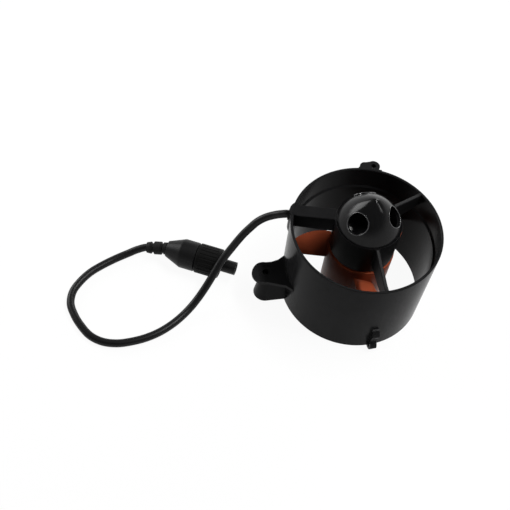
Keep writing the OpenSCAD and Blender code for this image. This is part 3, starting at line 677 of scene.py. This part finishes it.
def dot_of(tree, first, second):
    """The dot product of two vectors: one where they point the same way, zero where they are square."""
    links = [(0, first), (1, second)]
    return add(tree, "ShaderNodeVectorMath", links, operation="DOT_PRODUCT").outputs["Value"]


def remapped(tree, value, start, end, low, high):
    """A value that goes from low to high, while the given one goes from start to end."""
    links = [("Value", value), ("From Min", start), ("From Max", end), ("To Min", low), ("To Max", high)]
    return add(tree, "ShaderNodeMapRange", links).outputs[0]


def wear_group():
    """Mask grows as the dot of the true normal and a rounded one falls below one, broken up by noise."""
    tree, given, out = new_group("edge_wear", [("Radius", WEAR_RADIUS), ("Strength", 1.0)], ["Mask"])
    bevel_links = [("Radius", given.outputs["Radius"])]
    rounded_normal = add(tree, "ShaderNodeBevel", bevel_links, samples=WEAR_SAMPLES).outputs[0]
    true_normal = add(tree, "ShaderNodeNewGeometry").outputs["Normal"]
    likeness = dot_of(tree, rounded_normal, true_normal)
    edge = remapped(tree, likeness, WEAR_STARTS, WEAR_FULL, 0.0, 1.0)
    broken = calculated(tree, "MULTIPLY", edge, noise(tree, own_place(tree), BREAK_SCALE, BREAK_DETAIL))
    mask = calculated(tree, "MULTIPLY", broken, given.outputs["Strength"], use_clamp=True)
    tree.links.new(mask, out.inputs["Mask"])
    return tree


WEAR = wear_group()
print("group:", WEAR.name, "nodes:", len(WEAR.nodes))

# %% [markdown]
# ## Settled dust
#
# A little dust lies on what faces up. Scattered specks would be thousands of tiny meshes, and a mask
# does the same for so thin a layer: the upward part of the normal, in patches.

# %% Build the dust group
DUST_AMOUNT, PATCH_SCALE, PATCH_DETAIL = 0.005, 240.0, 6.0


def dust_group():
    """Mask is the upward part of the normal times patchy noise times the amount."""
    tree, given, out = new_group("settled_dust", [("Amount", DUST_AMOUNT)], ["Mask"])
    normal = add(tree, "ShaderNodeNewGeometry").outputs["Normal"]
    upward = dot_of(tree, normal, (0, 0, 1))
    patches = noise(tree, own_place(tree), PATCH_SCALE, PATCH_DETAIL)
    lying = calculated(tree, "MULTIPLY", upward, patches, use_clamp=True)
    mask = calculated(tree, "MULTIPLY", lying, given.outputs["Amount"], use_clamp=True)
    tree.links.new(mask, out.inputs["Mask"])
    return tree


DUST = dust_group()
print("group:", DUST.name, "nodes:", len(DUST.nodes))

# %% [markdown]
# ## Plastics and rubber
#
# Most of the thruster is black moulded plastic in several grades: the duct and nose are smoother than
# the frame, and the plug's ring is the darkest. Each grade could be a material of its own, but they
# differ only in numbers. So one function makes them all from the shared groups, each with its own
# colour, gloss, grain and wear. The orange of the propeller is the same plastic in another colour, and
# the rolled edges of the vents are the glossiest; their colour is paler than the nose's black, which is
# a painted highlight. The cable reads its grain on the straightened cable.

# %% Start a finish
TONE_DARK, TONE_PALE = 0.8, 1.25
MIX_FACTOR, MIX_FIRST, MIX_SECOND, MIX_RESULT = 0, 6, 7, 2


def mixed(tree, factor, first, second):
    """Colour that goes from the first to the second by a factor, on the Mix node's colour sockets."""
    links = [(MIX_FACTOR, factor), (MIX_FIRST, first), (MIX_SECOND, second)]
    return add(tree, "ShaderNodeMix", links, data_type="RGBA").outputs[MIX_RESULT]


def scaled(colour, factor):
    """A colour made lighter or darker."""
    return tuple(min(1.0, c * factor) for c in colour[:3]) + (1.0,)


def new_finish(name, place, grain, mottle):
    """A material, its node tree and shader, and the outputs of a grain group that is read at a place."""
    material = bpy.data.materials.new(name)
    material.use_nodes = True
    tree = material.node_tree
    links = [("Place", place(tree)), ("Grain", grain), ("Mottle", mottle)]
    texture = add(tree, "ShaderNodeGroup", links, node_tree=GRAIN)
    return material, tree, tree.nodes["Principled BSDF"], texture.outputs


def connect(tree, shader, colour, rough, height, strength, depth):
    """Links a colour, a roughness and a height, as bump of a strength and depth, to the shader."""
    links = [("Height", height), ("Strength", strength), ("Distance", depth)]
    bump = add(tree, "ShaderNodeBump", links).outputs[0]
    for label, value in (("Base Color", colour), ("Roughness", rough), ("Normal", bump)):
        tree.links.new(value, shader.inputs[label])


print("tones of a mid grey:", scaled((0.5, 0.5, 0.5), TONE_DARK), scaled((0.5, 0.5, 0.5), TONE_PALE))

# %% Make the plastics
DUST_COLOUR = (0.42, 0.41, 0.39, 1)
GLOSS_SWING, GRAIN_STRENGTH = 0.05, 0.5
DRAWN_OUT = (0.06, 1, 1)
BLACK = (0.005, 0.005, 0.0053)


def drawn_place(tree):
    """Place on the straightened cable, squeezed along its length so that noise turns into drawn lines."""
    read = add(tree, "ShaderNodeAttribute", attribute_name="straightened").outputs["Vector"]
    return add(tree, "ShaderNodeMapping", [("Vector", read), ("Scale", DRAWN_OUT)]).outputs[0]


def plastic(name, colour, rough, specular, grain=GRAIN_SCALE, depth=0.00002, mottle=MOTTLE_SCALE,
            wear=0.3, worn=3.0, dust=DUST_AMOUNT, place=own_place):
    """Moulded plastic or rubber: mottled colour, worn edges, a little dust, and grain as bump."""
    material, tree, shader, texture = new_finish(name, place, grain, mottle)
    edge = add(tree, "ShaderNodeGroup", node_tree=WEAR)
    edge.inputs["Strength"].default_value = wear
    lying = add(tree, "ShaderNodeGroup", node_tree=DUST)
    lying.inputs["Amount"].default_value = dust
    base = mixed(tree, texture["Tone"], scaled(colour, TONE_DARK), scaled(colour, TONE_PALE))
    base = mixed(tree, edge.outputs["Mask"], base, scaled(colour, worn))
    base = mixed(tree, lying.outputs["Mask"], base, DUST_COLOUR)
    gloss = remapped(tree, texture["Tone"], 0.0, 1.0, rough - GLOSS_SWING, rough + GLOSS_SWING)
    connect(tree, shader, base, gloss, texture["Height"], GRAIN_STRENGTH, depth)
    shader.inputs["Specular IOR Level"].default_value = specular
    return material


PLASTICS = {
    "duct_plastic": dict(colour=(0.0115, 0.0115, 0.0119), rough=0.2, specular=0.021, mottle=35),
    "frame_plastic": dict(colour=(0.009, 0.009, 0.0094), rough=0.36, specular=0.04),
    "nose_plastic": dict(colour=BLACK, rough=0.15, specular=0.16, wear=0.1),
    "orange_plastic": dict(colour=(0.28, 0.058, 0.024), rough=0.32, specular=0.04, worn=1.3, dust=0.0),
    "black_rubber": dict(
        colour=(0.006, 0.006, 0.006), rough=0.6, specular=0.15, grain=5000, depth=0.00004),
    "cable_jacket": dict(
        colour=BLACK, rough=0.38, specular=0.18, grain=3500, mottle=500, wear=0.0, place=drawn_place),
    "plug_plastic": dict(colour=BLACK, rough=0.42, specular=0.16, grain=6000, depth=0.00003),
    "ring_plastic": dict(
        colour=(0.003, 0.003, 0.003), rough=0.5, specular=0.08, grain=5000, depth=0.00004),
    "insert_plastic": dict(colour=(0.03, 0.03, 0.032), rough=0.5, specular=0.3),
    "potting_resin": dict(colour=(0.02, 0.022, 0.026), rough=0.25, specular=0.5),
    "lead_jacket": dict(colour=(0.35, 0.03, 0.02), rough=0.45, specular=0.4, worn=1.2),
    "washer_plastic": dict(colour=(0.6, 0.57, 0.48), rough=0.4, specular=0.5, worn=1.1),
    # The vents' beads are paler than the nose's black, a painted highlight added to their real gloss.
    "rolled_edge_and_highlight": dict(colour=(0.03, 0.03, 0.031), rough=0.12, specular=0.7, wear=0.0),
}
finishes = {name: plastic(name, **values) for name, values in PLASTICS.items()}
print("plastics:", len(finishes))

# %% [markdown]
# ## Metals
#
# The screws, the bearings and the motor's parts are turned or rolled metal. A plain metal shader would
# look like chrome. Fine bands along the part stand for the tool's marks, and the same grain group as
# for the plastics varies tone and gloss.

# %% Make the metals
METAL_GRAIN, METAL_MOTTLE = 2600, 180
METAL_DARK, METAL_PALE = 0.8, 1.15
GLOSS_DROP, GLOSS_RISE = 0.06, 0.1
BAND_WAVER, BAND_STRENGTH = 1.5, 0.3


def metal(name, colour, rough, rings=5200, depth=0.000004):
    """Turned or rolled metal: fine bands along the part, and a slow change of tone."""
    material, tree, shader, texture = new_finish(name, own_place, METAL_GRAIN, METAL_MOTTLE)
    links = [("Vector", own_place(tree)), ("Scale", rings), ("Distortion", BAND_WAVER)]
    bands = add(tree, "ShaderNodeTexWave", links, bands_direction="Z").outputs["Fac"]
    base = mixed(tree, texture["Tone"], scaled(colour, METAL_DARK), scaled(colour, METAL_PALE))
    gloss = remapped(tree, texture["Height"], 0.0, 1.0, rough - GLOSS_DROP, rough + GLOSS_RISE)
    connect(tree, shader, base, gloss, bands, BAND_STRENGTH, depth)
    shader.inputs["Metallic"].default_value = 1.0
    return material


METALS = {
    "fastener_steel": dict(colour=(0.46, 0.46, 0.45), rough=0.34),
    "motor_aluminium": dict(colour=(0.035, 0.035, 0.038), rough=0.45),
    "core_steel": dict(colour=(0.2, 0.21, 0.22), rough=0.45, rings=3000),
    "bearing_steel": dict(colour=(0.7, 0.71, 0.72), rough=0.18),
    "magnet_nickel": dict(colour=(0.52, 0.51, 0.49), rough=0.24),
    "copper_wire": dict(colour=(0.55, 0.2, 0.07), rough=0.34, rings=2400, depth=0.00003),
    "contact_brass": dict(colour=(0.78, 0.56, 0.2), rough=0.22),
}
finishes |= {name: metal(name, **values) for name, values in METALS.items()}
print("metals:", len(METALS))

# %% Give each piece its finish


def coat(piece, finish):
    """Puts one finish all over a piece."""
    piece.data.materials.clear()
    piece.data.materials.append(finishes[finish])


for entry in frame["record"]["subparts"]:
    coat(nodes[entry["node"]], entry["material_slot"])
NEW_PIECES = {
    "cable_jacket": cable, "nose_plastic": nose, "rolled_edge_and_highlight": beads, "duct_plastic": gate,
    "orange_plastic": propeller, "fastener_steel": screws,
}
for finish, piece in NEW_PIECES.items():
    coat(piece, finish)

# %% [markdown]
# ## Floor
#
# The photograph is a studio picture on white, with hardly a shadow. A plain white floor would need so
# much light to look white that the part would wash out. So the floor glows white to the camera and in
# reflections. Near the part it keeps a share of matt white that takes the shadow, and further out that
# share fades, so that no line shows where the floor ends.

# %% Lay the floor
FLOOR_SIZE, FLOOR_DROP = 40.0, 0.0002
SHADOW_REACH, SHADOW_END, GLOW_NEAR, GLOW_FAR = 0.4, 1.2, 0.94, 1.0
WHITE, MATT_WHITE = (1, 1, 1, 1), (0.95, 0.95, 0.95, 1)


def seen_directly(tree):
    """One where a ray comes from the camera, a reflection or glass; otherwise zero."""
    rays = add(tree, "ShaderNodeLightPath").outputs
    glossy = calculated(tree, "MAXIMUM", rays["Is Camera Ray"], rays["Is Glossy Ray"])
    return calculated(tree, "MAXIMUM", glossy, rays["Is Transmission Ray"])


half_size = FLOOR_SIZE / 2
corners = half_size * np.array([[-1, -1], [1, -1], [1, 1], [-1, 1]])
floor_mesh = bpy.data.meshes.new("floor")
floor_mesh.from_pydata(np.c_[corners, np.full(4, -FLOOR_DROP)].tolist(), [], [[0, 1, 2, 3]])
floor = bpy.data.objects.new("floor", floor_mesh)
bpy.context.scene.collection.objects.link(floor)
floor_material = bpy.data.materials.new("floor_white")
floor_material.use_nodes = True
tree = floor_material.node_tree
tree.nodes.clear()
matt = add(tree, "ShaderNodeBsdfDiffuse", [("Color", MATT_WHITE)]).outputs[0]
glow = add(tree, "ShaderNodeEmission", [("Color", WHITE), ("Strength", 1.0)]).outputs[0]
reach = add(tree, "ShaderNodeVectorMath", [(0, own_place(tree))], operation="LENGTH").outputs["Value"]
glow_share = remapped(tree, reach, SHADOW_REACH, SHADOW_END, GLOW_NEAR, GLOW_FAR)
share = calculated(tree, "MULTIPLY", seen_directly(tree), glow_share)
floor_mix = add(tree, "ShaderNodeMixShader", [(0, share), (1, matt), (2, glow)]).outputs[0]
add(tree, "ShaderNodeOutputMaterial", [("Surface", floor_mix)])
floor_mesh.materials.append(floor_material)
print("floor:", FLOOR_SIZE, "m, shadow kept to", SHADOW_REACH, "m")

# %% [markdown]
# ## World
#
# The world is the light from all round. It is white to the camera and in reflections near the horizon,
# as a studio's backdrop is, and darker above, because black gloss under a white ceiling would look
# grey. What it adds to the light on the part is low and even.

# %% Set the world
BACKDROP_TOP, CEILING_FROM = 0.2, 0.42
BACKDROP_STRENGTH, CEILING_STRENGTH, FILL_STRENGTH = 1.0, 0.08, 0.13

world = bpy.data.worlds.new("studio")
bpy.context.scene.world = world
world.use_nodes = True
tree = world.node_tree
tree.nodes.clear()
direction = add(tree, "ShaderNodeTexCoord").outputs["Generated"]
height = add(tree, "ShaderNodeSeparateXYZ", [(0, direction)]).outputs["Z"]
fade = remapped(tree, height, BACKDROP_TOP, CEILING_FROM, BACKDROP_STRENGTH, CEILING_STRENGTH)
seen = add(tree, "ShaderNodeBackground", [("Color", WHITE), ("Strength", fade)]).outputs[0]
fill = add(tree, "ShaderNodeBackground", [("Color", WHITE), ("Strength", FILL_STRENGTH)]).outputs[0]
choice = add(tree, "ShaderNodeMixShader", [(0, seen_directly(tree)), (1, fill), (2, seen)]).outputs[0]
add(tree, "ShaderNodeOutputWorld", [("Surface", choice)])
print("world:", world.name, "fill:", FILL_STRENGTH)

# %% [markdown]
# ## Lamps
#
# Four area lamps stand for a studio's soft boxes. Sun or point lamps would draw hard spots on the gloss
# nose. A broad lamp behind on the left draws the bright flank of the nose, and a slim one on the right
# at the front draws the thin line below its tip. A long one above lights the inside of the duct, and
# the last lights the far side, which the photograph doesn't show.

# %% Hang the lamps
LAMPS = {
    "back_left_lamp": dict(place=(-0.8, 0.7, 0.5), aim=(0, 0, 0.1), size=(0.6, 0.5), power=7),
    "back_right_lamp": dict(place=(0.8, 0.9, 0.5), aim=(0, 0, 0.05), size=(0.6, 0.4), power=5),
    "front_right_lamp": dict(place=(0.64, -0.36, 0.83), aim=(0, 0, 0.06), size=(0.1, 0.5), power=1.6),
    "top_lamp": dict(place=(0.45, 0.0, 1.25), aim=(0, 0, 0.05), size=(0.7, 0.16), power=14),
}


def hang_lamp(name, place, aim, size, power):
    """An oblong area lamp that looks from one point at another; its width lies level."""
    data = bpy.data.lights.new(name, "AREA")
    data.shape, data.energy = "RECTANGLE", power
    data.size, data.size_y = size
    light = bpy.data.objects.new(name, data)
    back = unit(np.array(place, float) - np.array(aim, float))
    side = unit(np.cross(Z_AXIS, back))
    light.matrix_world = stood_at(side, np.cross(back, side), back, place)
    bpy.context.scene.collection.objects.link(light)


for name, values in LAMPS.items():
    hang_lamp(name, **values)
bpy.context.scene.view_settings.view_transform = "Standard"
